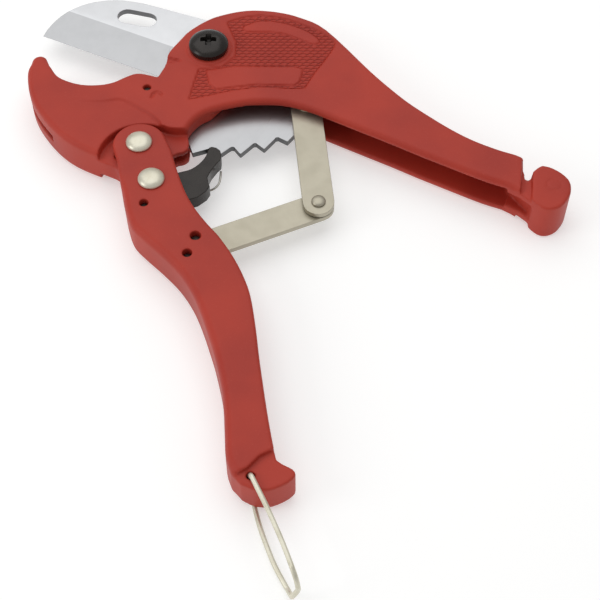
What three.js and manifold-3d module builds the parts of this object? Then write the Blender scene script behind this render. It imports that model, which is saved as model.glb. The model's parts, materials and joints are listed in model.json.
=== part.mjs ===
// Ratcheting pipe cutter for plastic pipe up to 42 mm, lying on its side with its handles open.
// Millimetres. The design frame has its origin on the blade pivot, in the middle of the castings'
// thickness: X runs towards the fixed handle's end, Y away from the moving handle, Z up through the
// upper side. The last lines move the whole group so that it stands on Z = 0 about its own middle.
import * as THREE from 'three';
import { mergeVertices } from 'three/addons/utils/BufferGeometryUtils.js';
import Module from 'manifold-3d';

const wasm = await Module();
wasm.setup();

// ---- Driving dimensions ----------------------------------------------------------------------
const castingThickness = 16; // both castings, outside to outside
const fixedHandleLength = 76; // from the neck to the shoulder before the end boss
const gripLength = 64; // moving handle, from its bulge to its end boss
const channelWall = 3; // side walls of the fixed handle
const channelRoof = 3.4; // the web that joins those side walls
const cheekThickness = 3.8; // side walls of the moving handle
const handleWeb = 3.4; // the web that joins the moving handle's cheeks
const runningGap = 0.4; // beside a cheek that swings over the frame
const fitGap = 0.3; // round a pin in its hole and between seated pieces
const bladeThickness = 2.4;
const bladeGap = 0.3; // each side of the blade in its slot
const bevelWidth = 15;
const toothCount = 4;
const toothPitch = 10.6; // degrees about the blade pivot
const toothTipRadius = 46.7; // of the first tooth
const toothValleyRadius = 42.7;
const toothGrowth = 0.28; // the spiral of the teeth, times the square of a tooth's number
const tailRadius = 50.2; // the most that the toothed tail may reach from its pivot
const screwShankRadius = 4;
const screwHeadRadius = 7.3;
const screwHeadHeight = 3.7;
const bushRadius = 6;
const nutAcrossFlats = 13;
const rivetShankRadius = 3;
const rivetHeadRadius = 4.65;
const rivetHeadHeight = 2.3;
const pawlRivetShankRadius = 2.5;
const linkWidth = 11;
const linkThickness = 1.9;
const linkGap = 0.25;
const smallRivetShankRadius = 1.8;
const smallRivetHeadRadius = 2.5;
const linkPinRadius = 1.6;
const bailWireRadius = 0.8;
const bailReach = 36.6;
const endStep = 1.8; // the moving handle's end is this much lower on both sides, for the bail
const springWireRadius = 0.4;

// Joint centres
const bladePivot = [0, 0];
const handlePivot = [-22.9, -45.9];
const pawlPivot = [-17.6, -62.6];
const bladeLinkPivot = [36, -25];
const kneePivot = [40.2, -68.8];
const linkPinCentre = [-1.3, -86.8];
const springAnchorCentre = [-3.7, -94];
const springPegCentre = [-19.5, -72.8];
const stopPinCentre = [-21.8, -19.3];
const pocketCentre = [-21.5, -51.8];
const pocketRadius = 15.8;

// Motion, in degrees: the handle's swing and what its followers turn per degree of it
const handleTravel = 51.5;
const bailLockTurn = 92; // the bail's swing from rest to its notch, with the handles shut
const bladeRatio = 0.425;
const pawlRatio = -1.36;
const upperLinkRatio = 0.12;
const lowerLinkRatio = -0.81;

// Derived levels
const half = castingThickness / 2;
const channelHalf = half - channelWall;
const slotHalf = bladeThickness / 2 + bladeGap;
const cheekInside = half - cheekThickness;
const tongueHalf = cheekInside - runningGap;
const bladeTop = bladeThickness / 2;
const upperLinkBottom = bladeTop + linkGap;
const upperLinkTop = upperLinkBottom + linkThickness;
const lowerLinkBottom = bladeTop - linkThickness;

// ---- Small tools -----------------------------------------------------------------------------
const radians = (degrees) => (degrees * Math.PI) / 180;
const polar = (centre, radius, degrees) => [
  centre[0] + radius * Math.cos(radians(degrees)),
  centre[1] + radius * Math.sin(radians(degrees)),
];

// Points along an arc, both ends included
function arc(centre, radius, from, to, steps) {
  const points = [];
  for (let i = 0; i <= steps; i += 1) {
    points.push(polar(centre, radius, from + ((to - from) * i) / steps));
  }
  return points;
}

// A smooth open line through the given points
function smooth(points, stepsPerSpan = 3) {
  const curve = new THREE.SplineCurve(points.map(([x, y]) => new THREE.Vector2(x, y)));
  return curve.getPoints(stepsPerSpan * (points.length - 1)).map((p) => [p.x, p.y]);
}

// A closed three.js geometry as a manifold solid
function solid(geometry) {
  geometry.deleteAttribute('normal');
  geometry.deleteAttribute('uv');
  const merged = mergeVertices(geometry, 1e-5);
  const vertProperties = new Float32Array(merged.attributes.position.array);
  const triVerts = new Uint32Array(merged.index.array);
  return new wasm.Manifold(new wasm.Mesh({ numProp: 3, vertProperties, triVerts }));
}

// A flat outline given thickness from one level to another
function slab(points, bottom, top) {
  const shape = new THREE.Shape(points.map(([x, y]) => new THREE.Vector2(x, y)));
  const geometry = new THREE.ExtrudeGeometry(shape, { depth: top - bottom, bevelEnabled: false });
  geometry.translate(0, 0, bottom);
  return solid(geometry);
}

// A round piece from [radius, height] pairs that start and end on its axis, lower end first
function turned(profile, [x, y], segments = 24) {
  const points = profile.map(([radius, height]) => new THREE.Vector2(radius, height));
  const geometry = new THREE.LatheGeometry(points, segments);
  geometry.rotateX(Math.PI / 2);
  geometry.translate(x, y, 0);
  return solid(geometry);
}

const disc = (centre, radius, bottom, top, segments = 24) =>
  turned([[0, bottom], [radius, bottom], [radius, top], [0, top]], centre, segments);

// A round wire along a path of points
function wire(points, radius, steps, sides = 8) {
  const section = new THREE.Shape(arc([0, 0], radius, 0, 360 - 360 / sides, sides - 1)
    .map(([x, y]) => new THREE.Vector2(x, y)));
  const path = new THREE.CatmullRomCurve3(points.map((p) => new THREE.Vector3(...p)));
  return solid(new THREE.ExtrudeGeometry(section, { steps, extrudePath: path, bevelEnabled: false }));
}

// The same solid turned over onto the other side
const mirrored = (body) => body.mirror([0, 0, 1]);

// A cut made alike on the upper and the lower face
const bothFaces = (body, cutter) => body.subtract(cutter).subtract(mirrored(cutter));

const root = new THREE.Group();

function addMesh(name, body, material) {
  const { vertProperties, triVerts } = body.getMesh();
  const geometry = new THREE.BufferGeometry();
  geometry.setAttribute('position', new THREE.BufferAttribute(new Float32Array(vertProperties), 3));
  geometry.setIndex(new THREE.BufferAttribute(new Uint32Array(triVerts), 1));
  geometry.computeVertexNormals();
  const mesh = new THREE.Mesh(geometry, material);
  mesh.name = name;
  root.add(mesh);
  return mesh;
}

const finish = (color, roughness, metalness) =>
  new THREE.MeshStandardMaterial({ color, roughness, metalness });
const redPaint = finish('#ac463c', 0.45, 0);
const groundSteel = finish('#cfd1d1', 0.3, 1);
const nickel = finish('#c4bdab', 0.28, 1);
const blackOxide = finish('#3a3836', 0.4, 0.6);
const plainSteel = finish('#9c9a94', 0.35, 1);
const springSteel = finish('#8f8d88', 0.3, 1);

// ---- Fixed handle stations -------------------------------------------------------------------
// The fixed handle is laid out along a line that leaves the neck at -35 degrees. A station is
// [distance along it, offset to its upper side]. Its grip stretches with fixedHandleLength.
const neck = [44, -12];
const fixedAngle = -35;

function onFixed([along, offset]) {
  const ahead = polar(neck, along, fixedAngle);
  return polar(ahead, offset, fixedAngle + 90);
}

const grip = (fraction, offset) => onFixed([fraction * fixedHandleLength, offset]);
const pastShoulder = (along, offset) => onFixed([fixedHandleLength + along, offset]);

const gripTop = [[0.16, 10.1], [0.3, 7.1], [0.42, 5], [0.54, 3.8], [0.67, 2.9], [0.79, 2.9],
  [0.91, 4.1], [1, 5.7]];
const gripBottom = [[1.05, -8.1], [0.95, -9.8], [0.78, -11.5], [0.63, -12.9], [0.5, -13.9],
  [0.38, -15], [0.26, -16.1], [0.13, -17.3]];

// ---- Moving handle stations --------------------------------------------------------------------
// Laid out along a line from the handle pivot at -71.5 degrees. A station is [distance, offset],
// with positive offsets towards the fixed handle. The grip stretches with gripLength.
const handleAngle = -71.5;
const gripStart = 66;
const gripEnd = gripStart + gripLength;

function onHandle([along, offset]) {
  const ahead = polar(handlePivot, along, handleAngle);
  return polar(ahead, offset, handleAngle + 90);
}

// ---- The bail's path ---------------------------------------------------------------------------
// A long U across the tool's thickness, from the hole in the moving handle's end. It was bent by
// hand, so its upper leg bows to one side and its lower leg to the other.
const bailPivot = onHandle([gripEnd + 6.3, -1.4]);
const bailAngle = -68;
const bailCorner = 4;

function bailLine() {
  const level = half - bailWireRadius - 0.15;
  const straight = bailReach - bailCorner;
  const side = [
    [0, half - endStep - 2.8], [0, level - 1], [0.3, level - 0.3], [1, level],
    [3, level], [straight * 0.35, level], [straight * 0.7, level], [straight - 2, level],
    [straight, level - 0.1],
    [bailReach - 0.35 * bailCorner, level - 0.35 * bailCorner], [bailReach, level - bailCorner],
    [bailReach, 0],
  ];
  const bow = (along, up) => {
    const share = Math.sin((Math.PI * Math.min(along, straight)) / (bailReach * 1.1));
    return share * (up ? 0.8 : -2);
  };
  const place = ([along, z], up) => {
    const [x, y] = polar(polar(bailPivot, along, bailAngle), bow(along, up), bailAngle + 90);
    return [x, y, z];
  };
  const lower = [...side].reverse().slice(1).map(([along, z]) => place([along, -z], false));
  return [...side.map((point) => place(point, true)), ...lower];
}
const bailPath = bailLine();

// A point of the bail when the handles are shut and it is swung into its notch
function locked([x, y, z]) {
  const turn = (point, centre, degrees) => {
    const reach = Math.hypot(point[0] - centre[0], point[1] - centre[1]);
    const angle = Math.atan2(point[1] - centre[1], point[0] - centre[0]) * 180 / Math.PI;
    return polar(centre, reach, angle + degrees);
  };
  return [...turn(turn([x, y], bailPivot, bailLockTurn), handlePivot, handleTravel), z];
}

// ---- Frame casting: fixed handle, head and hooked jaw in one piece -----------------------------
const jawOuterEdge = [[-31.5, -53.4], [-37.2, -50.6], [-46.9, -45.2], [-54.3, -38.4], [-61, -29],
  [-64.7, -20.5], [-66.4, -11], [-65.5, -6.2]];
const jawTip = arc([-62.6, -5.5], 2.9, 165, 20, 6);
const jawMouthEdge = [[-58.6, -7.7], [-55.1, -13.3], [-50.1, -16.3], [-44.5, -17.8], [-39, -17.7],
  [-34.4, -16.5], [-30, -13.8], [-26.4, -12.1], [-23.1, -12.4], [-18.3, -13.9]];
const headEdge = [[-16, -8.5], [-15.5, -4], [-14.3, 0], [-11.4, 4.9], [-7.8, 10.2], [-1.4, 15.7],
  [3.8, 18.4], [11.1, 20.6], [17.8, 21.1], [25.7, 20.1], [33.8, 17.3], [43.8, 10.6]];
const throatEdge = [[36.5, -29.1], [29.5, -26.7], [22.6, -25.8], [15.8, -26], [9.7, -27.2],
  [2.8, -29.4], [-1.7, -32], [-4.7, -35.6], [-6.4, -39]];
const tongueLobe = [[-5.7, -42.3], [-6, -45.2], [-7.5, -46.6], [-10, -47.3]];
const tongueRadius = 11.3;

// The end boss, its rounded end and the notch that the wire bail drops into
const bossOutline = [[2.8, 5.9], [3.9, 4.4], [5.4, 1.6], [7, 0.8], [8.6, 1.5], [9.2, 4.6],
  [10, 6.5], [13, 7.4], [17.2, 7.3], [21.2, 5.8], [23.8, 2.6], [24.6, -1], [24.3, -5.4], [22.7, -8.4],
  [20.4, -9.8], [17.4, -9.6], [13.4, -8.4], [10.2, -7.8]];

function frameOutline() {
  return [
    ...smooth(jawOuterEdge),
    ...jawTip,
    ...smooth(jawMouthEdge),
    ...smooth([...headEdge, ...gripTop.map(([f, o]) => grip(f, o))]),
    ...bossOutline.map(([a, o]) => pastShoulder(a, o)),
    ...smooth([...gripBottom.map(([f, o]) => grip(f, o)), ...throatEdge]),
    ...tongueLobe,
    ...arc(handlePivot, tongueRadius, -16, -128, 9),
  ];
}

// The line of the roof's inside, from the head round to the handle's end
const headRoof = [[6.5, 17.2], [17.5, 17.3], [26, 16], [34, 12.8], [42.5, 6.2], [48.4, -2]];
const gripRoof = (last) => gripTop
  .filter(([fraction]) => fraction <= last)
  .map(([fraction, offset]) => grip(fraction, offset - channelRoof));

// Slot for the blade: open at the mouth and at the front of the head, closed by the roof behind
function bladeSlot() {
  const outline = [
    [-80, 45], [6.5, 45],
    ...headRoof,
    onFixed([12, -30]),
    ...arc(bladePivot, tailRadius + 0.7, -55, -105, 8),
    [-12.2, -27], [-20, -25], [-58, -37.5], [-80, -44.5],
  ];
  return slab(outline, -slotHalf, slotHalf);
}

// Wide cavity: the rear of the head and the channel of the fixed handle, open below
function channel() {
  const outline = [
    [-3.2, -60], [-3.2, -37], [0, -32], [7, -23], [13, -13],
    ...arc(bladePivot, 15.5, -30, 46, 6),
    ...headRoof.slice(2),
    ...gripRoof(0.92),
    pastShoulder(0, 0.6), pastShoulder(3.4, -2.6), pastShoulder(4.4, -7),
    pastShoulder(4.4, -30), grip(0.2, -50),
  ];
  return slab(outline, -channelHalf, channelHalf);
}

// The channel's last stretch is narrower, up to the end boss
function channelEnd() {
  const outline = [[-10, -3], [4, -3], [8, -4.4], [12.6, -6], [15, -8.4], [15, -30],
    [-10, -30]].map(([a, o]) => pastShoulder(a, o));
  return slab(outline, -channelHalf + 1.6, channelHalf - 1.6);
}

// The moving handle's cheek swings in a round pocket and over the frame's tongue
function cheekPocket() {
  const round = disc(pocketCentre, pocketRadius, tongueHalf, half + 5, 48);
  const side = [[-17, -37], [-13.6, -38.3], [-10, -38.9], [0, -38.9], [0, -75], [-30, -75],
    [-40, -60]];
  return round.add(slab(side, tongueHalf, half + 5));
}

// The jaw's lower half falls away from the hook towards the pocket, which leaves a raised rim
const fallStart = -52;
const fallSlope = 0.03;
function jawFall() {
  const rim = smooth([[-51, -24], [-45.2, -25.7], [-37.7, -25.9], [-32.3, -24.9], [-28.6, -26.1],
    [-22.8, -30], [-18.9, -33], [-16.2, -36]], 2);
  const outline = [[-80, -24], ...rim, [-16.2, -75], [-80, -75]];
  const shape = new THREE.Shape(outline.map(([x, y]) => new THREE.Vector2(x, y)));
  const geometry = new THREE.ExtrudeGeometry(shape, { depth: 8, bevelEnabled: false });
  const fall = new THREE.Matrix4().set(
    1, 0, 0, 0,
    0, 1, 0, 0,
    -fallSlope, 0, 1, half + fallSlope * fallStart,
    0, 0, 0, 1,
  );
  geometry.applyMatrix4(fall);
  return solid(geometry);
}

// Shallow panel on the head with two blank plates left standing in it
const panelDepth = 0.4;
function headPanel() {
  const field = smooth([[6.1, 14.3], [13.2, 17.2], [20.5, 17.9], [30, 15.6], [39.7, 10.6],
    [45, 6.8], [47, 2.8], [43.4, -5], [39.6, -11.5], [35.6, -19.6]], 2);
  const outline = [...field, [30.2, -19.8], [19, -18.9], [8, -21], [-6.4, -25.2], [-5, -17.3],
    [-3.4, -9.9], [5, -8.8], [9.6, -3.6], [9.9, 3.5]];
  const lowerPlate = [[-0.6, -10.6], [0.8, -17.6], [3.6, -19.9], [18.7, -17.5], [31.6, -18.2],
    [33.6, -16.4], [34.9, -10.2], [32, -8.9], [9, -8.6]];
  const upperPlate = smooth([[12.6, 12], [14.2, 9.4], [25.4, 8.9], [32.6, 6.2], [38.6, 2.9],
    [41, 4.4], [37, 9], [28, 13.6], [19, 14.9], [12.6, 12]], 2).slice(0, -1);
  const panel = slab(outline, half - panelDepth, half + 4);
  return panel.subtract(slab(lowerPlate, half - 2, half + 5))
    .subtract(slab(upperPlate, half - 2, half + 5));
}

// Room for the locked bail: a groove down both faces, and the wire's own bed across the notch
const legRoom = endStep + 0.15;
function bailGroove() {
  const [x, y] = pastShoulder(7.2, 2.2);
  const outline = [[x - 2, y + 4], [x + 1.8, y + 4], [x - 0.6, y - 16], [x - 4.6, y - 16]];
  return slab(outline, half - legRoom, half + 4);
}

const bailBed = wire(bailPath.map(locked), bailWireRadius + fitGap + 0.05, 80, 8);

const bossHeight = 0.7;
const bossRadius = 8.3;
const nutPocketDepth = 4.2;
const nutPocketRadius = 8.1;
const handleBushRadius = 4.3;
const stopPinRadius = 1.25;

function frameCasting() {
  let body = slab(frameOutline(), -half, half);
  body = body.add(disc(bladePivot, bossRadius, half - 1, half + bossHeight, 32));
  body = body.subtract(bladeSlot()).subtract(channel()).subtract(channelEnd());
  body = bothFaces(body, cheekPocket());
  body = bothFaces(body, jawFall());
  body = bothFaces(body, headPanel());
  body = bothFaces(body, bailGroove()).subtract(bailBed);
  const frontNotch = [[-17, -3.4], [-9.6, -5.7], [-17, -7.4]];
  body = body.subtract(slab(frontNotch, half - 2, half + 4));
  const dimple = disc([-30.6, -48.4], 1.3, tongueHalf - 1.5, half, 12);
  body = bothFaces(body, dimple);
  body = body.subtract(disc(bladePivot, screwShankRadius + fitGap, -half - 1, half + 3, 24));
  body = body.subtract(
    disc(bladePivot, nutPocketRadius, -half - 1, -half + nutPocketDepth, 32));
  body = body.subtract(disc(handlePivot, handleBushRadius + fitGap, -half, half, 24));
  body = body.subtract(disc(stopPinCentre, stopPinRadius + fitGap, -half - 1, half + 1, 12));
  return body;
}
addMesh('frame_casting', frameCasting(), redPaint);

const stopPinRecess = 1.4;
const stopPin = disc(stopPinCentre, stopPinRadius, -half + stopPinRecess, half - stopPinRecess, 12);
addMesh('blade_stop_pin', stopPin, plainSteel);

// ---- Blade -------------------------------------------------------------------------------------
// The cutting edge is a straight line; the tail carries the ratchet teeth and the link's rivet.
const bladeTip = [-64.4, 14.7];
const bladeHeel = [-16.6, -7.6];
const firstValley = -88;
const toothFace = 2.6; // degrees that the steep face of a tooth takes
const tailEyeRadius = 6.4;
const bladeSlotCentre = [-29, 23.4];

function toothProfile() {
  const points = [polar(bladePivot, toothTipRadius - 1.5, firstValley - 7.8)];
  for (let tooth = 0; tooth < toothCount; tooth += 1) {
    const angle = firstValley + toothPitch * tooth;
    const growth = toothGrowth * tooth * tooth;
    const valley = toothValleyRadius + growth;
    const tip = toothTipRadius + growth;
    points.push(polar(bladePivot, valley + 0.4, angle - 1.2));
    points.push(polar(bladePivot, valley, angle));
    points.push(polar(bladePivot, valley + 0.3, angle + 1));
    points.push(polar(bladePivot, tip - 0.4, angle + toothFace));
    points.push(polar(bladePivot, tip, angle + toothFace + 0.4));
    points.push(polar(bladePivot, tip - 0.2, angle + toothFace + 0.9));
  }
  return points;
}

function bladeOutline() {
  return [
    bladeTip,
    bladeHeel, [-13.6, -14], [-10.4, -25], [-8, -35],
    ...toothProfile(),
    ...arc(bladeLinkPivot, tailEyeRadius, -95, 35, 7),
    ...smooth([[40.4, -19.3], [33, -11.5], [24, -1.5], [15.8, 7], [9, 13.8], [3, 19.2],
      [-3, 22.5]], 2),
    ...smooth([[-26.7, 31.4], [-34.5, 33.1], [-40.3, 33.2], [-45.8, 32.3], [-51.2, 30.2],
      [-56.4, 26.6], [-60.5, 22.2], [-63.2, 17.8]], 2),
  ];
}

// The ground bevel runs from a line on each face down to the cutting edge
function bevelCutter() {
  const edgeAngle = (Math.atan2(bladeHeel[1] - bladeTip[1], bladeHeel[0] - bladeTip[0]) * 180)
    / Math.PI;
  const bite = Math.atan2(bladeTop - 0.12, bevelWidth);
  const block = new THREE.BoxGeometry(140, 40, 6);
  block.translate(0, -20, 3);
  block.rotateX(bite);
  block.rotateZ(radians(edgeAngle));
  const back = polar(bladeTip, bevelWidth, edgeAngle + 90);
  block.translate(back[0] + 10, back[1] + 10 * Math.tan(radians(edgeAngle)), bladeTop);
  const front = [[-80, 40], [-80, -30], [-15.6, -30], [-15.6, 12], [-13, 40]];
  return solid(block).intersect(slab(front, -3, 3 + bladeTop));
}

function bladeSolid() {
  let body = slab(bladeOutline(), -bladeTop, bladeTop);
  body = bothFaces(body, bevelCutter());
  const slotEnds = [
    ...arc(polar(bladeSlotCentre, 4.1, 165), 3.7, 75, 255, 8),
    ...arc(polar(bladeSlotCentre, 4.1, -15), 3.7, -105, 75, 8),
  ];
  body = body.subtract(slab(slotEnds, -3, 3));
  body = body.subtract(disc(bladePivot, bushRadius + fitGap, -3, 3, 32));
  body = body.subtract(disc(bladeLinkPivot, smallRivetShankRadius + fitGap, -3, 3, 16));
  return body;
}
const blade = bladeSolid();
addMesh('blade', blade, groundSteel);

// ---- Blade pivot: screw, washers, bush and lock nut ----------------------------------------------
const screwWasherThickness = 0.7;
const screwSeat = half + bossHeight + 0.1 + screwWasherThickness + 0.1;

function ring(centre, outer, inner, bottom, top, segments = 24) {
  return disc(centre, outer, bottom, top, segments)
    .subtract(disc(centre, inner, bottom - 1, top + 1, segments));
}

function pivotScrew() {
  const domeRise = screwHeadHeight - 1;
  const dome = arc([0, 0], 1, 0, 80, 6).map(([x, y]) => [
    screwHeadRadius * x, screwSeat + 1 + domeRise * y,
  ]);
  const profile = [[0, -half + 0.4], [screwShankRadius - 0.5, -half + 0.4],
    [screwShankRadius, -half + 0.9], [screwShankRadius, screwSeat],
    [screwHeadRadius - 0.3, screwSeat], ...dome, [0, screwSeat + screwHeadHeight]];
  let body = turned(profile, bladePivot, 32);
  const recessBottom = screwSeat + screwHeadHeight - 2.2;
  for (const turn of [0, Math.PI / 2]) {
    const slot = new THREE.BoxGeometry(5.6, 1.8, 6);
    slot.rotateZ(turn);
    slot.translate(0, 0, recessBottom + 3);
    body = body.subtract(solid(slot));
  }
  return body;
}
addMesh('pivot_screw', pivotScrew(), blackOxide);
const washerBottom = half + bossHeight + 0.1;
addMesh('pivot_washer', ring(bladePivot, screwHeadRadius - 0.3, screwShankRadius + fitGap,
  washerBottom, washerBottom + screwWasherThickness, 32), blackOxide);
addMesh('pivot_bush', ring(bladePivot, bushRadius, screwShankRadius + fitGap,
  -slotHalf + 0.1, slotHalf - 0.1, 32), plainSteel);

const pocketFloor = -half + nutPocketDepth;
const nutWasherThickness = 0.7;
const nutThickness = 3;
addMesh('pivot_nut_washer', ring(bladePivot, 7.4, screwShankRadius + fitGap,
  pocketFloor - 0.1 - nutWasherThickness, pocketFloor - 0.1, 32), plainSteel);

function lockNut() {
  const top = pocketFloor - 0.2 - nutWasherThickness;
  const corner = nutAcrossFlats / 2 / Math.cos(Math.PI / 6);
  const hexagon = slab(arc(bladePivot, corner, 0, 300, 5), top - nutThickness, top);
  return hexagon.subtract(disc(bladePivot, screwShankRadius + fitGap, -half - 2, half, 24));
}
addMesh('pivot_lock_nut', lockNut(), plainSteel);

// ---- Moving handle -------------------------------------------------------------------------------
const alongGrip = (fraction) => gripStart + fraction * gripLength;
const webSide = [[4, -9.2], [13, -10.5], [20, -11.2], [27, -11.9], [34, -11.8], [40, -9.5],
  [48, -5.6], [57, -1.9], [alongGrip(0), 0.1], [alongGrip(0.14), 0.7], [alongGrip(0.29), 0.6],
  [alongGrip(0.41), 0.3], [alongGrip(0.59), -0.9], [alongGrip(0.72), -2.6], [alongGrip(0.84), -4.6],
  [gripEnd - 2, -6.7], [gripEnd + 3.6, -6.8]];
const openSide = [[gripEnd + 3.6, 7.6], [gripEnd - 2, 8.2], [alongGrip(0.8), 9.9],
  [alongGrip(0.52), 13.2], [alongGrip(0.34), 15.6], [alongGrip(0.14), 17.8], [alongGrip(0), 18],
  [57, 17], [48, 15], [42, 12.9], [35, 10.9], [28, 9.7], [21, 9.4], [14, 9.5], [7, 9.9]];
const endRound = [[8, -5], [11.2, -1.4], [12.6, 2.6], [12.2, 7.6], [10.6, 11.2], [8.4, 11.4],
  [5.4, 8.8]];
function handleOutline() {
  return [
    ...arc(handlePivot, 9.4, 190, 18, 14),
    ...smooth([...openSide].reverse().map(onHandle)),
    ...smooth([...endRound].reverse().map(([a, o]) => onHandle([gripEnd + a, o])), 2),
    ...smooth([...webSide].reverse().map(onHandle)),
  ];
}

function handleChannel() {
  const inner = webSide
    .filter(([along]) => along > 26 && along < gripEnd - 6)
    .map(([along, offset]) => [along, offset + handleWeb]);
  const outline = [[-20, -30], [15.5, -30], [15.5, -7.2], [20, -7.6], ...inner,
    [gripEnd - 6, -2.6], [gripEnd - 4, 1], [gripEnd - 5, 30], [-20, 30]].map(onHandle);
  return slab(outline, -cheekInside, cheekInside);
}

// Both faces step down past a slanting ledge, so that the bail lies within the thickness
function endLedge() {
  const outline = [[gripEnd + 6.6, -14], [gripEnd + 4.6, -4.4], [gripEnd + 4.1, -1.6],
    [gripEnd + 1.4, 3], [gripEnd, 12], [gripEnd + 30, 20], [gripEnd + 30, -14]].map(onHandle);
  return slab(outline, half - endStep, half + 4);
}

const tailPocketRadius = rivetHeadRadius + 0.1;
const tailPocketDepth = 1.5;

function movingHandle() {
  let body = slab(handleOutline(), -half, half).subtract(handleChannel());
  body = bothFaces(body, endLedge());
  const bores = [
    [handlePivot, rivetShankRadius + fitGap, 24],
    [pawlPivot, pawlRivetShankRadius + fitGap, 20],
    [linkPinCentre, linkPinRadius + fitGap, 16],
    [springAnchorCentre, 1.4 + fitGap, 16],
    [springPegCentre, 1.3 + fitGap, 12],
    [bailPivot, bailWireRadius + 0.6, 16],
  ];
  for (const [centre, radius, segments] of bores) {
    body = body.subtract(disc(centre, radius, -half - 2, half + 2, segments));
  }
  for (const centre of [handlePivot, pawlPivot]) {
    body = body.subtract(disc(centre, tailPocketRadius, -half - 1, -half + tailPocketDepth, 24));
  }
  return body;
}
addMesh('moving_handle', movingHandle(), redPaint);

// ---- Handle rivets: domed above, flattened into a pocket below ------------------------------------
function domedRivet(centre, shankRadius) {
  const seat = half + 0.1;
  const dome = arc([0, 0], 1, 0, 78, 5).map(([x, y]) => [
    rivetHeadRadius * x, seat + 0.25 + (rivetHeadHeight - 0.25) * y,
  ]);
  const tailTop = -half + tailPocketDepth - 0.2;
  return turned([[0, -half + 0.1], [rivetHeadRadius - 0.5, -half + 0.1],
    [rivetHeadRadius - 0.3, tailTop], [shankRadius, tailTop], [shankRadius, seat],
    [rivetHeadRadius, seat], ...dome, [0, seat + rivetHeadHeight]], centre, 28);
}
addMesh('handle_pivot_rivet', domedRivet(handlePivot, rivetShankRadius), nickel);
addMesh('pawl_pivot_rivet', domedRivet(pawlPivot, pawlRivetShankRadius), nickel);
addMesh('handle_bush', ring(handlePivot, handleBushRadius, rivetShankRadius + fitGap,
  -tongueHalf - 0.1, tongueHalf + 0.1), plainSteel);

// ---- Ratchet pawl and its spring -------------------------------------------------------------------
// The pawl's hub fills the handle's channel. Its head is slotted so that it straddles the blade's
// teeth, and the nose left in the slot drives the steep face of a tooth.
const pawlHalf = cheekInside - runningGap;
const pawlHub = 4.7;
const springWell = 2.3;
const springCoilRadius = 3.3;
const pawlArmHalf = 2.7;

// The arm from the hub to the slotted head, with the notch that the spring's hook spans
function pawlOutline() {
  return [
    ...arc(pawlPivot, pawlHub - 0.4, 250, 75, 9),
    ...smooth([[-12.5, -56.4], [-8.6, -54.9], [-5.5, -53.9], [-3.2, -52.4], [-1.1, -50],
      [0.3, -47.6], [1, -45]], 2),
    [1.3, -43.6], [2.3, -43.1], [3.9, -43.5], [5.4, -44.9], [5.9, -47], [5.7, -49.4], [4.5, -50.8],
    [2.6, -54], [1.3, -57.3], [1.7, -59.5], [2.3, -61.2], [1.1, -63.6], [-1.9, -66.3],
    [-6, -67.7], [-11, -68.6],
  ];
}

// The blade's outline as the pawl sees it when the handle has swung by the given angle
function bladeSeenFromPawl(swing) {
  const [hx, hy] = handlePivot;
  const [px, py] = pawlPivot;
  const turnBlade = (body) => body.rotate([0, 0, swing * bladeRatio]);
  const unturnHandle = (body) => body.translate([-hx, -hy, 0]).rotate([0, 0, -swing])
    .translate([hx, hy, 0]);
  const unturnPawl = (body) => body.translate([-px, -py, 0]).rotate([0, 0, -swing * pawlRatio])
    .translate([px, py, 0]);
  return unturnPawl(unturnHandle(turnBlade(bladeShadow)));
}

// The toothed tail, grown by the gap it keeps, and as thick as the slot in the pawl's head
function grownTail() {
  const tail = [[-13, -20], ...toothProfile(), [34, -30], [20, -12]];
  const grown = slab(tail, -slotHalf, slotHalf);
  let swept = grown;
  for (const direction of [0, 60, 120, 180, 240, 300]) {
    const [dx, dy] = polar([0, 0], fitGap, direction);
    swept = swept.add(grown.translate([dx, dy, 0]));
  }
  return swept;
}
const bladeShadow = grownTail();

function ratchetPawl() {
  let body = slab(pawlOutline(), -pawlArmHalf, pawlArmHalf);
  body = body.add(disc(pawlPivot, pawlHub, -pawlHalf, pawlHalf, 28));
  const sweepSteps = 8;
  for (let step = 0; step <= sweepSteps; step += 1) {
    body = body.subtract(bladeSeenFromPawl((handleTravel * step) / sweepSteps));
  }
  const wellTop = -pawlHalf + springWell;
  const well = disc(pawlPivot, springCoilRadius + 0.7, -pawlHalf - 1, wellTop, 24);
  const groove = slab([[-15.5, -60.6], [-11, -59.4], [-11, -62], [-15.5, -63.4]],
    -pawlHalf - 1, wellTop);
  body = body.subtract(well).subtract(groove);
  return body.subtract(disc(pawlPivot, pawlRivetShankRadius + fitGap, -8, 8, 20));
}
addMesh('ratchet_pawl', ratchetPawl(), blackOxide);

// A coil in the well on the pawl's lower side. Its leg runs under the arm and hooks up to the head.
function pawlSpring() {
  const points = [];
  const turns = 1.5;
  const stepsPerTurn = 10;
  const top = -pawlHalf + springWell - springWireRadius - 0.15;
  for (let i = 0; i <= turns * stepsPerTurn; i += 1) {
    const [x, y] = polar(pawlPivot, springCoilRadius, 200 + (360 * i) / stepsPerTurn);
    points.push([x, y, top - ((2 * springWireRadius + 0.1) * i) / stepsPerTurn]);
  }
  const leg = -pawlHalf + springWireRadius + 0.05;
  points.push([-12.6, -61, leg], [-8, -60.2, leg], [-4, -59.5, leg], [-0.5, -58.9, leg],
    [2.3, -58.7, leg + 0.1], [4, -58, -2.2], [5.2, -56.5, -1.6], [5.6, -54, -1.3],
    [5.7, -51.5, -1.3]);
  return wire(points, springWireRadius, 64, 6);
}
addMesh('pawl_spring', pawlSpring(), springSteel);

addMesh('pawl_spring_peg', disc(springPegCentre, 1.3, cheekInside + 0.2, half - 2, 12),
  springSteel);

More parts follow.
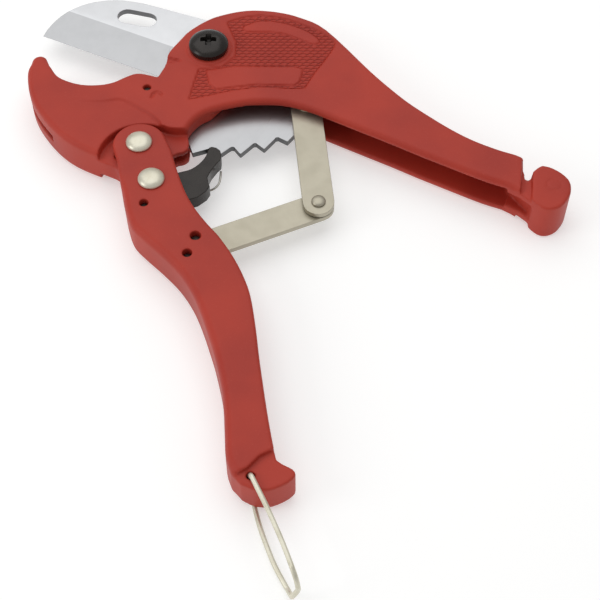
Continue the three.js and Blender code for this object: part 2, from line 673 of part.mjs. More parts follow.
// ---- Knee linkage: blade tail, upper link, knee, lower link, moving handle ------------------------
function linkOutline(from, to, fromRadius, toRadius) {
  const angle = (Math.atan2(to[1] - from[1], to[0] - from[0]) * 180) / Math.PI;
  return [...arc(from, fromRadius, angle + 90, angle + 270, 10),
    ...arc(to, toRadius, angle - 90, angle + 90, 10)];
}

const linkHole = (centre, radius) => disc(centre, radius, -half, half, 20);
const upperLink = slab(linkOutline(bladeLinkPivot, kneePivot, linkWidth / 2, linkWidth / 2),
  upperLinkBottom, upperLinkTop)
  .subtract(linkHole(bladeLinkPivot, smallRivetShankRadius + fitGap))
  .subtract(linkHole(kneePivot, smallRivetShankRadius + fitGap));
addMesh('upper_link', upperLink, nickel);

// The lower link's eye has a wide hole, so that the link floats on its pin as the handle swings
const eyeFloat = 1.8;
const eyeRadius = 5.7;
const eyeHoleRadius = linkPinRadius + eyeFloat;
const eyeHoleCentre = [linkPinCentre[0] + 1.5, linkPinCentre[1] - 0.45];
const lowerLink = slab(linkOutline(kneePivot, linkPinCentre, linkWidth / 2, linkWidth / 2),
  lowerLinkBottom, bladeTop)
  .add(disc(eyeHoleCentre, eyeRadius, lowerLinkBottom, bladeTop, 32))
  .subtract(linkHole(kneePivot, smallRivetShankRadius + fitGap))
  .subtract(linkHole(eyeHoleCentre, eyeHoleRadius));
addMesh('lower_link', lowerLink, nickel);

function buttonRivet(centre, tailTop) {
  const seat = upperLinkTop + 0.1;
  const height = channelHalf - seat - 0.3;
  const dome = arc([0, 0], 1, 0, 75, 4).map(([x, y]) => [
    smallRivetHeadRadius * x, seat + 0.3 + (height - 0.3) * y,
  ]);
  return turned([[0, tailTop - 1.2], [smallRivetHeadRadius - 0.5, tailTop - 1.2],
    [smallRivetHeadRadius, tailTop - 0.6], [smallRivetHeadRadius, tailTop],
    [smallRivetShankRadius, tailTop], [smallRivetShankRadius, seat],
    [smallRivetHeadRadius, seat], ...dome, [0, seat + height]], centre, 20);
}
addMesh('knee_rivet', buttonRivet(kneePivot, lowerLinkBottom - 0.1), nickel);
addMesh('blade_link_rivet', buttonRivet(bladeLinkPivot, -bladeTop - 0.1), nickel);

const pinRecess = 2.4;
const linkPin = disc(linkPinCentre, linkPinRadius, -half + pinRecess, half - pinRecess, 16);
addMesh('lower_link_pin', linkPin, plainSteel);
addMesh('link_spacer', ring(linkPinCentre, 4.4, linkPinRadius + fitGap,
  -cheekInside + 0.2, lowerLinkBottom - 0.3), plainSteel);

// ---- Opening spring: coiled on the lower link's pin, one leg behind the anchor pin ------------------
// The anchor pin is a stub pressed into the near cheek. The other leg rests along the lower link.
const anchorRadius = 1.4;
const anchorPin = disc(springAnchorCentre, anchorRadius, bladeTop + 0.6, half - pinRecess, 16);
addMesh('spring_anchor_pin', anchorPin, plainSteel);

function openingSpring() {
  const coil = 3.1;
  const turns = 1.5;
  const stepsPerTurn = 10;
  const pitch = 2 * springWireRadius + 0.15;
  const bottom = bladeTop + 0.4 + springWireRadius;
  const onLink = (along, offset) => polar(polar(linkPinCentre, along, 23), offset, 113);
  const points = [[...onLink(6.4, coil), bottom], [...onLink(3, coil), bottom]];
  for (let i = 0; i <= turns * stepsPerTurn; i += 1) {
    const [x, y] = polar(linkPinCentre, coil, 113 + (360 * i) / stepsPerTurn);
    points.push([x, y, bottom + (pitch * i) / stepsPerTurn]);
  }
  const high = bottom + turns * pitch;
  const behind = polar(springAnchorCentre, anchorRadius + springWireRadius + fitGap, -15);
  points.push([...onLink(-2.6, -coil - 0.6), high], [behind[0] + 0.2, behind[1] + 1.6, high],
    [behind[0] - 0.2, behind[1] - 2.4, high]);
  return wire(points, springWireRadius, 52, 6);
}
addMesh('opening_spring', openingSpring(), springSteel);

// ---- Lock bail: one bent wire whose ends sit in the hole of the handle's end -----------------------
addMesh('lock_bail', wire(bailPath, bailWireRadius, 80, 8), springSteel);

// ---- Stand the part on its far faces, centred on its own box --------------------------------------
const box = new THREE.Box3().setFromObject(root);
const shift = [-(box.min.x + box.max.x) / 2, -(box.min.y + box.max.y) / 2, -box.min.z];
root.position.set(...shift);
root.userData = {
  shift,
  joints: { bladePivot, handlePivot, pawlPivot, bladeLinkPivot, kneePivot, bailPivot },
  ratios: { bladeRatio, pawlRatio, upperLinkRatio, lowerLinkRatio },
  handleTravel,
};

export default root;
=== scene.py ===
# A one-hand ratcheting pipe cutter for plastic pipe, lying on its side with its handles open.
# Sizes are in millimetres. The tool is laid out about the blade's pivot, in the middle of the
# castings' thickness, and every mesh is then moved to the frame's own origin.
import json
import math

import bpy
import numpy as np
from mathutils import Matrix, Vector


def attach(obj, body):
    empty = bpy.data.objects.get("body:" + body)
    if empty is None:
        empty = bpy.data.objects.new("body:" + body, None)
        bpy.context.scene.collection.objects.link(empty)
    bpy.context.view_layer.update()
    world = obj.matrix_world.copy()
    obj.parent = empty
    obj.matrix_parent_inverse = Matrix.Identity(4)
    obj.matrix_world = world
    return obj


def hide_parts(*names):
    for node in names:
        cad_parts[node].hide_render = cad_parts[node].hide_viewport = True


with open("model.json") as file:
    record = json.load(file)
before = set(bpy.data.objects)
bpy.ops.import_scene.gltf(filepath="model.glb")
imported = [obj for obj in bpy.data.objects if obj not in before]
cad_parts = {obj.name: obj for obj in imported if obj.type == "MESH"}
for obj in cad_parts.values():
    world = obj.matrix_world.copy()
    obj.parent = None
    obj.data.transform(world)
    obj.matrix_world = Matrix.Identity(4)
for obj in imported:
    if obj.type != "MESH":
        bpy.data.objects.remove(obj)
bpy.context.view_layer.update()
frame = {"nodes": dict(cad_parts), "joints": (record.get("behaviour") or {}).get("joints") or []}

# ---- Camera --------------------------------------------------------------------------------------
# A long lens over the moving handle's side, well above the tool, aimed between the open handles.
MM = 0.001
LENS_MM = 81
SIGHT_ELEVATION = 55.5
SIGHT_DISTANCE = 437.4
FRAME_JOINTS = {joint["name"]: np.array(joint["pos_m"]) / MM for joint in frame["joints"]}
PIVOT = FRAME_JOINTS["blade_swing"]
SIGHT_POINT = PIVOT + [33.8, -113.2, 8]


def camera_place():
    """The sight point, stepped back along the line of sight, in metres."""
    tilt = math.radians(SIGHT_ELEVATION)
    back = np.array([0.0, -math.cos(tilt), math.sin(tilt)])
    return (SIGHT_POINT + SIGHT_DISTANCE * back) * MM


camera_data = bpy.data.cameras.new("camera")
camera_data.lens = LENS_MM
camera_data.sensor_width = 36
camera = bpy.data.objects.new("camera", camera_data)
camera.location = camera_place()
camera.rotation_euler = (math.radians(90 - SIGHT_ELEVATION), 0, 0)
bpy.context.scene.collection.objects.link(camera)
bpy.context.scene.camera = camera

# ---- Studio: paper sweep, sky and lamps ----------------------------------------------------------
# White paper lit through from below, under an even white sky, with a broad lamp above and behind
# and a weaker one at the left.
PAPER_HEX = "d8d8d7"
PAPER_GLOW = 0.42
SKY_HEX = "ffffff"
SKY_STRENGTH = 0.5


def linear(hex_colour):
    """An sRGB hex colour as linear RGB with alpha 1."""
    parts = [int(hex_colour[i:i + 2], 16) / 255 for i in (0, 2, 4)]
    return [p / 12.92 if p <= 0.04045 else ((p + 0.055) / 1.055) ** 2.4 for p in parts] + [1.0]


def node(tree, kind, links=(), sockets=(), **settings):
    """Adds one node with its settings, its socket values and its links as (socket, source)."""
    made = tree.nodes.new(kind)
    for name, value in settings.items():
        setattr(made, name, value)
    for name, value in sockets:
        made.inputs[name].default_value = value
    for name, source in links:
        tree.links.new(source, made.inputs[name])
    return made


def new_material(name, sockets):
    """A material, its node tree and its Principled shader with the given socket values."""
    material = bpy.data.materials.new(name)
    material.use_nodes = True
    shader = material.node_tree.nodes["Principled BSDF"]
    for socket, value in sockets.items():
        shader.inputs[socket].default_value = value
    return material, material.node_tree, shader


def darken(tree, colour, share, shader):
    """Makes the base colour a colour socket's value times a share between 0 and 1."""
    grey = node(tree, "ShaderNodeCombineColor", [(c, share) for c in ("Red", "Green", "Blue")])
    darker = node(tree, "ShaderNodeMix", [("A", colour), ("B", grey.outputs[0])],
                  [("Factor", 1.0)], data_type="RGBA", blend_type="MULTIPLY")
    tree.links.new(darker.outputs["Result"], shader.inputs["Base Color"])


def make_piece(name, points, faces, material):
    """An object from points in millimetres and its faces, shaded smooth."""
    mesh = bpy.data.meshes.new(name)
    faces = faces.tolist() if isinstance(faces, np.ndarray) else faces
    mesh.from_pydata((np.asarray(points) * MM).tolist(), [], faces)
    mesh.polygons.foreach_set("use_smooth", np.ones(len(mesh.polygons), bool))
    mesh.update()
    mesh.materials.append(material)
    made = bpy.data.objects.new(name, mesh)
    bpy.context.scene.collection.objects.link(made)
    return made


# Paper on a light table: matt, and bright enough to wash out the shadows that fall on it
paper, tree, shader = new_material("paper_sweep", {
    "Base Color": linear(PAPER_HEX), "Roughness": 0.9,
    "Emission Color": linear(SKY_HEX), "Emission Strength": PAPER_GLOW})
fibres = node(tree, "ShaderNodeTexNoise", sockets=[("Scale", 900.0), ("Detail", 3.0)],
              links=[("Vector", node(tree, "ShaderNodeTexCoord").outputs["Object"])])
lift = node(tree, "ShaderNodeBump", links=[("Height", fibres.outputs["Fac"])],
            sockets=[("Strength", 0.03), ("Distance", 0.0001)])
tree.links.new(lift.outputs["Normal"], shader.inputs["Normal"])
PAPER_HALF = 2500
corner = np.array([[-1, -1, 0], [1, -1, 0], [1, 1, 0], [-1, 1, 0]]) * PAPER_HALF
make_piece("paper_sweep", corner - [0, 0, 0.05], [[0, 1, 2, 3]], paper)

world = bpy.data.worlds.new("studio")
bpy.context.scene.world = world
world.use_nodes = True
sky = world.node_tree.nodes["Background"]
sky.inputs["Color"].default_value = linear(SKY_HEX)
sky.inputs["Strength"].default_value = SKY_STRENGTH

# Each lamp: place, side of its square face, watts
LAMPS = {
    "top_lamp": ((-120, 380, 900), 1200, 4.6),
    "left_lamp": ((-850, -250, 520), 450, 1.8),
}
for lamp_name, (place, side, watts) in LAMPS.items():
    data = bpy.data.lights.new(lamp_name, "AREA")
    data.size = side * MM
    data.energy = watts
    lamp = bpy.data.objects.new(lamp_name, data)
    lamp.location = Vector(place) * MM
    lamp.rotation_euler = (-Vector(place)).to_track_quat("-Z", "Y").to_euler()
    bpy.context.scene.collection.objects.link(lamp)
bpy.context.scene.view_settings.view_transform = "Standard"

# ---- Frame casting -------------------------------------------------------------------------------
# Fixed handle, head and hooked jaw: one die casting with soft corners, in red stoving enamel.
# A slot for the blade and a channel open its inside.
HALF = 8.0
HANDLE_PIVOT = np.array([-22.9, -45.9])
PAWL_PIVOT = np.array([-17.6, -62.6])
LINK_PIN = (-1.3, -86.8)
ANCHOR_PIN = (-3.7, -94)
SPRING_PEG = (-19.5, -72.8)
STOP_PIN = (-21.8, -19.3)


def skin(field, axes):
    """The closed surface where a field on a grid is zero: one point in each grid box that the
    surface crosses, at the mean of its crossings on the box's edges, and one four-sided face
    round each grid edge that it crosses. The field is negative inside."""
    inside = field < 0
    low = tuple(slice(0, n - 1) for n in field.shape)
    count = np.zeros([n - 1 for n in field.shape], np.int8)
    for corner_step in np.ndindex(2, 2, 2):
        shifted = tuple(slice(s, s + n - 1) for s, n in zip(corner_step, field.shape))
        count += inside[shifted]
    crossed = (count > 0) & (count < 8)
    boxes = np.argwhere(crossed)
    number = np.full(count.shape, -1, np.int64)
    number[crossed] = np.arange(len(boxes))
    total = np.zeros((len(boxes), 3))
    hits = np.zeros(len(boxes))
    for axis in range(3):
        side_axes = [(axis + 1) % 3, (axis + 2) % 3]
        for side_step in np.ndindex(2, 2):
            start = boxes.copy()
            start[:, side_axes] += side_step
            stop = start.copy()
            stop[:, axis] += 1
            f0 = field[tuple(start.T)]
            f1 = field[tuple(stop.T)]
            cut = (f0 < 0) != (f1 < 0)
            share = np.where(cut, f0 / np.where(cut, f0 - f1, 1), 0)
            point = np.stack([axes[a][start[:, a]] for a in range(3)], 1)
            point[:, axis] += share * (axes[axis][stop[:, axis]] - axes[axis][start[:, axis]])
            total += point * cut[:, None]
            hits += cut
    faces = []
    for axis in range(3):
        u, v = (axis + 1) % 3, (axis + 2) % 3
        first = np.take(inside, range(field.shape[axis] - 1), axis)
        second = np.take(inside, range(1, field.shape[axis]), axis)
        edge = np.argwhere(first != second)
        keep = (edge[:, u] > 0) & (edge[:, v] > 0)
        keep &= (edge[:, u] < field.shape[u] - 1) & (edge[:, v] < field.shape[v] - 1)
        edge = edge[keep]
        ring = []
        for du, dv in ((1, 1), (0, 1), (0, 0), (1, 0)):
            box = edge.copy()
            box[:, u] -= du
            box[:, v] -= dv
            ring.append(number[tuple(box.T)])
        ring = np.stack(ring, 1)
        leaving = first[tuple(edge.T)]
        faces.append(np.where(leaving[:, None], ring, ring[:, ::-1]))
    return total / hits[:, None], np.concatenate(faces)


def distance(outline, x, y, closed=True):
    """The distance from each grid point to a line of straight stretches, negative inside it
    where the line is closed."""
    ends = np.asarray(outline, float)
    starts, stops = (ends, np.roll(ends, -1, 0)) if closed else (ends[:-1], ends[1:])
    nearest = np.full(x.shape, 1e9)
    within = np.zeros(x.shape, bool)
    for (ax, ay), (bx, by) in zip(starts, stops):
        ex, ey = bx - ax, by - ay
        px, py = x - ax, y - ay
        share = np.clip((px * ex + py * ey) / (ex * ex + ey * ey + 1e-12), 0, 1)
        nearest = np.minimum(nearest, (px - share * ex) ** 2 + (py - share * ey) ** 2)
        if closed and abs(ey) > 1e-12:
            within ^= ((ay > y) != (by > y)) & (px < ex * py / ey)
    nearest = np.sqrt(nearest)
    return np.where(within, -nearest, nearest)


def smooth_line(points, per_span=4):
    """A Catmull-Rom line through points, with the same number of steps in each span."""
    p = np.asarray(points, float)
    p = np.vstack([2 * p[0] - p[1], p, 2 * p[-1] - p[-2]])
    t = (np.arange(per_span) / per_span)[None, :, None]
    a, b, c, d = (p[i:len(p) - 3 + i][:, None, :] for i in range(4))
    spans = 0.5 * (2 * b + (c - a) * t + (2 * a - 5 * b + 4 * c - d) * t ** 2
                   + (3 * b - a - 3 * c + d) * t ** 3)
    return np.vstack([spans.reshape(-1, p.shape[1]), p[-2]])


def arc(centre, radius, first, last, steps):
    """Points along an arc, its angles in degrees."""
    angle = np.radians(np.linspace(first, last, steps + 1))
    return np.stack([centre[0] + radius * np.cos(angle), centre[1] + radius * np.sin(angle)], 1)


def stations(start, angle, table):
    """Points laid out from [distance along, offset to the left] pairs on a line at an angle."""
    along = np.array([math.cos(math.radians(angle)), math.sin(math.radians(angle))])
    left = np.array([-along[1], along[0]])
    table = np.asarray(table, float)
    return np.asarray(start) + table[:, :1] * along + table[:, 1:] * left


def ramp(value, width):
    """1 where value is well below 0, falling smoothly to 0 above it, over a width."""
    t = np.clip(0.5 - value / width, 0, 1)
    return t * t * (3 - 2 * t)


def soft_max(a, b, radius):
    """The larger of two fields, with a fillet of a radius where they meet."""
    h = np.clip(0.5 + 0.5 * (a - b) / radius, 0, 1)
    return b + (a - b) * h + radius * h * (1 - h)


def thick(flat, height, radius):
    """A flat outline given thickness: its distance and the height above its face are met by a
    round edge of a radius."""
    a = flat + radius
    b = height + radius
    outside = np.hypot(np.maximum(a, 0), np.maximum(b, 0))
    return outside + np.minimum(np.maximum(a, b), 0) - radius


def grid(x_range, y_range, pitch):
    """Even grid lines along X and Y, and the flat grid they make."""
    xs = np.arange(x_range[0], x_range[1] + pitch, pitch)
    ys = np.arange(y_range[0], y_range[1] + pitch, pitch)
    return xs, ys, *np.meshgrid(xs, ys, indexing="ij")


# Heights of the grid's layers: close together at the faces and at the slot's and channel's walls
LAYERS_UP = [0.4, 1.0, 1.35, 1.65, 2.2, 2.8, 3.4, 3.7, 3.95, 4.35, 4.8, 5.2, 5.7, 6.1, 6.4, 6.8,
             7.15, 7.45, 7.7, 7.9, 8.1, 8.4, 8.8, 9.2]
layers = np.array([-z for z in LAYERS_UP[::-1]] + LAYERS_UP)

JAW_OUTER = [(-31.5, -53.4), (-37.2, -50.6), (-46.9, -45.2), (-54.3, -38.4), (-61, -29),
             (-64.7, -20.5), (-66.4, -11), (-65.5, -6.2)]
JAW_MOUTH = [(-58.6, -7.7), (-55.1, -13.3), (-50.1, -16.3), (-44.5, -17.8), (-39, -17.7),
             (-34.4, -16.5), (-30, -13.8), (-26.4, -12.1), (-23.1, -12.4), (-18.3, -13.9)]
HEAD = [(-16, -8.5), (-15.5, -4), (-14.3, 0), (-11.4, 4.9), (-7.8, 10.2), (-1.4, 15.7),
        (3.8, 18.4), (11.1, 20.6), (17.8, 21.1), (25.7, 20.1), (33.8, 17.3), (43.8, 10.6)]
THROAT = [(36.5, -29.1), (29.5, -26.7), (22.6, -25.8), (15.8, -26), (9.7, -27.2), (2.8, -29.4),
          (-1.7, -32), (-4.7, -35.6), (-6.4, -39)]
TONGUE_LOBE = [(-5.7, -42.3), (-6, -45.2), (-7.5, -46.6), (-10, -47.3)]
NECK = (44, -12)
FIXED_ANGLE = -35
GRIP_TOP = [(12.2, 10.1), (22.8, 7.1), (31.9, 5), (41, 3.8), (50.9, 2.9), (60, 2.9), (69.2, 4.1),
            (76, 5.7)]
GRIP_BOTTOM = [(79.8, -8.1), (72.2, -9.8), (59.3, -11.5), (47.9, -12.9), (38, -13.9), (28.9, -15),
               (19.8, -16.1), (9.9, -17.3)]
NOTCH = [(78.8, 5.9), (79.9, 4.4), (81.4, 1.6), (83, 0.8), (84.6, 1.5), (85.2, 4.6)]
BOSS = [(86, 6.5), (89, 7.4), (93.2, 7.3), (97.2, 5.8), (99.6, 2.5), (100.5, -1), (100.3, -5.4),
        (98.7, -8.4), (96.4, -9.8), (93.4, -9.6), (89.4, -8.4), (86.2, -7.8)]
CHANNEL_ROOF = 3.4
POCKET_CENTRE = (-21.5, -51.8)
POCKET_RADIUS = 15.8
PANEL_DEPTH = 0.75

grip_top = stations(NECK, FIXED_ANGLE, GRIP_TOP)
grip_bottom = stations(NECK, FIXED_ANGLE, GRIP_BOTTOM)
frame_outline = np.vstack([
    smooth_line(JAW_OUTER), arc((-62.6, -5.5), 2.9, 165, 20, 8), smooth_line(JAW_MOUTH),
    smooth_line(np.vstack([HEAD, grip_top])), stations(NECK, FIXED_ANGLE, NOTCH),
    smooth_line(stations(NECK, FIXED_ANGLE, BOSS)),
    smooth_line(np.vstack([grip_bottom, THROAT])), TONGUE_LOBE,
    arc(HANDLE_PIVOT, 11.3, -16, -128, 14)])
xs, ys, gx, gy = grid((-68, 129.5), (-78, 24), 0.68)
outline = distance(frame_outline, gx, gy)
throat = distance(np.vstack([grip_bottom, THROAT]), gx, gy, closed=False)
jaw_back = distance(JAW_OUTER, gx, gy, closed=False)
head_top = distance(np.vstack([HEAD[3:], grip_top]), gx, gy, closed=False)
edge_radius = (0.9 + 1.3 * ramp(throat - 6, 6) + 1.5 * ramp(jaw_back - 6, 6)
               + 0.5 * ramp(head_top - 6, 6))

# The wire bail's path at rest in the moving handle's end, and the same path swung into the notch
# with the handles shut: a U across the thickness whose two legs bow apart.
HANDLE_ANGLE = -71.5
BAIL_PIVOT = stations(HANDLE_PIVOT, HANDLE_ANGLE, [(136.3, -1.4)])[0]
BAIL_ANGLE = -68
BAIL_REACH = 36.55
BAIL_CORNER = 4.0
BAIL_WIRE = 0.8
BAIL_LEVEL = 7.05
SHUT_ANGLE = 51.5
LOCK_ANGLE = 92.0


def bail_line():
    """The middle line of the wire, from its upper end round to its lower end."""
    straight = BAIL_REACH - BAIL_CORNER
    side = np.array([(0, 3.4), (0, BAIL_LEVEL - 1), (0.3, BAIL_LEVEL - 0.3), (1, BAIL_LEVEL),
                     (3, BAIL_LEVEL), (0.35 * straight, BAIL_LEVEL), (0.7 * straight, BAIL_LEVEL),
                     (straight - 2, BAIL_LEVEL), (straight, BAIL_LEVEL - 0.1),
                     (BAIL_REACH - 0.35 * BAIL_CORNER, BAIL_LEVEL - 0.35 * BAIL_CORNER),
                     (BAIL_REACH, BAIL_LEVEL - BAIL_CORNER), (BAIL_REACH, 0)])
    along = np.concatenate([side[:, 0], side[-2::-1, 0]])
    level = np.concatenate([side[:, 1], -side[-2::-1, 1]])
    bow = np.sin(math.pi * np.minimum(along, straight) / (BAIL_REACH * 1.1))
    bow *= np.where(np.arange(len(along)) < len(side), 0.8, -2.0)
    flat = stations(BAIL_PIVOT, BAIL_ANGLE, np.stack([along, bow], 1))
    return smooth_line(np.column_stack([flat, level]), 5)


def turned_about(points, centre, angle):
    """Points turned about an upright line through a centre."""
    c, s = math.cos(math.radians(angle)), math.sin(math.radians(angle))
    arm = points[:, :2] - centre
    flat = np.stack([c * arm[:, 0] - s * arm[:, 1], s * arm[:, 0] + c * arm[:, 1]], 1) + centre
    return np.column_stack([flat, points[:, 2]])


bail_path = bail_line()
locked_path = turned_about(turned_about(bail_path, BAIL_PIVOT, LOCK_ANGLE), HANDLE_PIVOT,
                           SHUT_ANGLE)

# Shallow forms on both faces, as heights above or below the flat face
PANEL = np.vstack([
    smooth_line([(6.1, 14.3), (13.2, 17.2), (20.5, 17.9), (30, 15.6), (39.7, 10.6), (45, 6.8),
                 (47, 2.8), (43.4, -5), (39.6, -11.5), (35.6, -19.6)]),
    [(30.2, -19.8), (19, -18.9), (8, -21), (-6.4, -25.2), (-5, -17.3), (-3.4, -9.9), (5, -8.8),
     (9.6, -3.6), (9.9, 3.5)]])
LOWER_PLATE = [(-0.6, -10.6), (0.8, -17.6), (3.6, -19.9), (18.7, -17.5), (31.6, -18.2),
               (33.6, -16.4), (34.9, -10.2), (32, -8.9), (9, -8.6)]
UPPER_PLATE = smooth_line([(12.6, 12), (14.2, 9.4), (25.4, 8.9), (32.6, 6.2), (38.6, 2.9),
                           (41, 4.4), (37, 9), (28, 13.6), (19, 14.9), (12.6, 12)])[:-1]
JAW_RIM = smooth_line([(-51, -24), (-45.2, -25.7), (-37.7, -25.9), (-32.3, -24.9), (-28.6, -26.1),
                       (-22.8, -30), (-18.9, -33), (-16.2, -36)])


def panel_share(x, y):
    """1 on the sunk panel's floor and 0 elsewhere, on the two blank plates too."""
    sunk = ramp(distance(PANEL, x, y), 0.7)
    for plate in (LOWER_PLATE, UPPER_PLATE):
        sunk = sunk * (1 - ramp(distance(plate, x, y), 0.7))
    return sunk


fall = distance(np.vstack([[(-80, -24)], JAW_RIM, [(-16.2, -75), (-80, -75)]]), gx, gy)
fall_depth = np.clip(0.035 * (gx + 54), 0, 3) * ramp(fall, 1.4)
face = HALF - PANEL_DEPTH * panel_share(gx, gy) - fall_depth
boss_mark = np.abs(np.hypot(gx - 121.3, gy + 64.8) - 2.4) - 0.2
face = face - 0.25 * ramp(boss_mark, 0.8)
swirl = distance(smooth_line([(-19.9, -24.2), (-19.2, -22.2), (-17.7, -21.4), (-16.3, -22.6)]),
                 gx, gy, closed=False)
near = face + 0.7 * ramp(np.hypot(gx, gy) - 8.3, 0.8) - 0.7 * ramp(swirl - 0.5, 0.8)
near = near - 1.2 * ramp(distance([(-17, -3.4), (-9.6, -5.7), (-17, -7.4)], gx, gy), 0.8)
far = face

z = layers[None, None, :]
height = np.maximum(z - near[..., None], -z - far[..., None])
solid = thick(outline[..., None], height, edge_radius[..., None])
depth = np.abs(z)


def channel_field(flat, level):
    """A cut of a flat outline between two walls, negative inside the cut."""
    return np.maximum(flat[..., None], depth - level)


SLOT_ROOF = [(-80, 45), (6.5, 45), (6.5, 17.2), (17.5, 17.3), (26, 16), (34, 12.8), (42.5, 6.2),
             (48.4, -2)]
slot = np.vstack([SLOT_ROOF, stations(NECK, FIXED_ANGLE, [(12, -30)]),
                  arc((0, 0), 50.9, -55, -105, 12),
                  [(-12.2, -27), (-20, -25), (-58, -37.5), (-80, -44.5)]])
roof_line = stations(NECK, FIXED_ANGLE, [(a, o - CHANNEL_ROOF) for a, o in GRIP_TOP[:7]])
channel = np.vstack([[(-3.2, -60), (-3.2, -37), (0, -32), (7, -23), (13, -13)],
                     arc((0, 0), 15.5, -30, 46, 10), SLOT_ROOF[4:], roof_line,
                     stations(NECK, FIXED_ANGLE, [(76, 0.6), (79.4, -2.6), (80.4, -7), (80.4, -30),
                                                  (15.2, -50)])])
channel_end = stations(NECK, FIXED_ANGLE, [(66, -3), (80, -3), (84, -4.4), (88.6, -6), (91, -8.4),
                                           (91, -30), (66, -30)])
pocket_side = [(-17, -37), (-13.6, -38.3), (-10, -38.9), (0, -38.9), (0, -75), (-30, -75),
               (-40, -60)]
pocket = np.minimum(np.hypot(gx - POCKET_CENTRE[0], gy - POCKET_CENTRE[1]) - POCKET_RADIUS,
                    distance(pocket_side, gx, gy))
groove_x, groove_y = stations(NECK, FIXED_ANGLE, [(83.2, 2.2)])[0]
groove = distance([(groove_x - 2, groove_y + 4), (groove_x + 1.8, groove_y + 4),
                   (groove_x - 0.6, groove_y - 16), (groove_x - 4.6, groove_y - 16)], gx, gy)
stop_hole = np.hypot(gx - STOP_PIN[0], gy - STOP_PIN[1]) - 1.5
dimple = np.hypot(gx + 30.6, gy + 48.4) - 1.3
BED_GAP = 0.45
FAR_OFF = 9.0
BOSS_START_X = 95
bed = np.full(solid.shape, FAR_OFF)
near_notch = gx[:, 0] > BOSS_START_X
for a, b in zip(locked_path[:-1], locked_path[1:]):
    arm = np.stack(np.broadcast_arrays(gx[near_notch][..., None] - a[0],
                                       gy[near_notch][..., None] - a[1], z - a[2]), -1)
    share = np.clip(arm @ (b - a) / max((b - a) @ (b - a), 1e-9), 0, 1)
    away = np.linalg.norm(arm - share[..., None] * (b - a), axis=-1)
    bed[near_notch] = np.minimum(bed[near_notch], away - BAIL_WIRE - BED_GAP)
# Half widths of the slot, the channel and its narrow end, and the levels of shallower cuts
SLOT_HALF = 1.5
CHANNEL_HALF = 5.0
CHANNEL_END_HALF = 3.4
TONGUE_HALF = 3.8
GROOVE_FLOOR = 6.05
DIMPLE_FLOOR = 2.6
NUT_POCKET_TOP = -3.8
NUT_POCKET_RADIUS = 8.1
SCREW_BORE = 4.3
TONGUE_BORE = 4.6
FINE_FILLET = 0.3
CHANNEL_FILLET = 0.6


def through(flat):
    """A cut of a flat outline through the whole thickness."""
    return np.broadcast_to(flat[..., None], solid.shape)


screw_axis = np.hypot(gx, gy)
rivet_axis = np.hypot(gx - HANDLE_PIVOT[0], gy - HANDLE_PIVOT[1])
cuts = [
    (bed, 0.2),
    (channel_field(distance(slot, gx, gy), SLOT_HALF), FINE_FILLET),
    (channel_field(distance(channel, gx, gy), CHANNEL_HALF), CHANNEL_FILLET),
    (channel_field(distance(channel_end, gx, gy), CHANNEL_END_HALF), CHANNEL_FILLET),
    (np.maximum(pocket[..., None], TONGUE_HALF - depth), 0.5),
    (np.maximum(groove[..., None], GROOVE_FLOOR - depth), FINE_FILLET),
    (np.maximum(dimple[..., None], DIMPLE_FLOOR - depth), FINE_FILLET),
    (through(stop_hole), FINE_FILLET),
    (through(screw_axis - SCREW_BORE), FINE_FILLET),
    (np.maximum((screw_axis - NUT_POCKET_RADIUS)[..., None], z - NUT_POCKET_TOP), FINE_FILLET),
    (through(rivet_axis - TONGUE_BORE), FINE_FILLET),
]
for cut, fillet in cuts:
    solid = soft_max(solid, -cut, fillet)

ENAMEL_HEX = "b23a2b"
ENAMEL_DEEP_HEX = "a33226"
ENAMEL_WORN_HEX = "b8483a"
enamel, tree, shader = new_material("stoving_enamel", {
    "Base Color": linear(ENAMEL_HEX), "Roughness": 0.48, "Specular IOR Level": 0.28})
place = node(tree, "ShaderNodeTexCoord").outputs["Object"]
# Red enamel, stoved on thick: an even warm red with a soft broad sheen and no mirror image.
# Cloudy shade in patches about 25 mm across
cloud = node(tree, "ShaderNodeTexNoise", [("Vector", place)],
             [("Scale", 1 / (25 * MM)), ("Detail", 3.0)])
cloud_ramp = node(tree, "ShaderNodeValToRGB", [("Fac", cloud.outputs["Fac"])])
cloud_ramp.color_ramp.elements[0].position = 0.3
cloud_ramp.color_ramp.elements[0].color = linear(ENAMEL_DEEP_HEX)
cloud_ramp.color_ramp.elements[1].position = 0.62
cloud_ramp.color_ramp.elements[1].color = linear(ENAMEL_HEX)
# Dust nibs and pinholes in the enamel, about 0.7 mm apart
nibs = node(tree, "ShaderNodeTexNoise", [("Vector", place)],
            [("Scale", 1 / (0.7 * MM)), ("Detail", 2.0)])
nib_ramp = node(tree, "ShaderNodeValToRGB", [("Fac", nibs.outputs["Fac"])])
nib_ramp.color_ramp.elements[0].position = 0.6
nib_ramp.color_ramp.elements[0].color = (0, 0, 0, 1)
nib_ramp.color_ramp.elements[1].position = 0.75
nib_ramp.color_ramp.elements[1].color = (0.35, 0.35, 0.35, 1)
shade = node(tree, "ShaderNodeMix", data_type="RGBA")
tree.links.new(nib_ramp.outputs["Color"], shade.inputs["Factor"])
tree.links.new(cloud_ramp.outputs["Color"], shade.inputs["A"])
shade.inputs["B"].default_value = linear(ENAMEL_WORN_HEX)
tree.links.new(shade.outputs["Result"], shader.inputs["Base Color"])
gloss = node(tree, "ShaderNodeMapRange", [("Value", cloud.outputs["Fac"])],
             [("To Min", 0.42), ("To Max", 0.56)])
tree.links.new(gloss.outputs["Result"], shader.inputs["Roughness"])
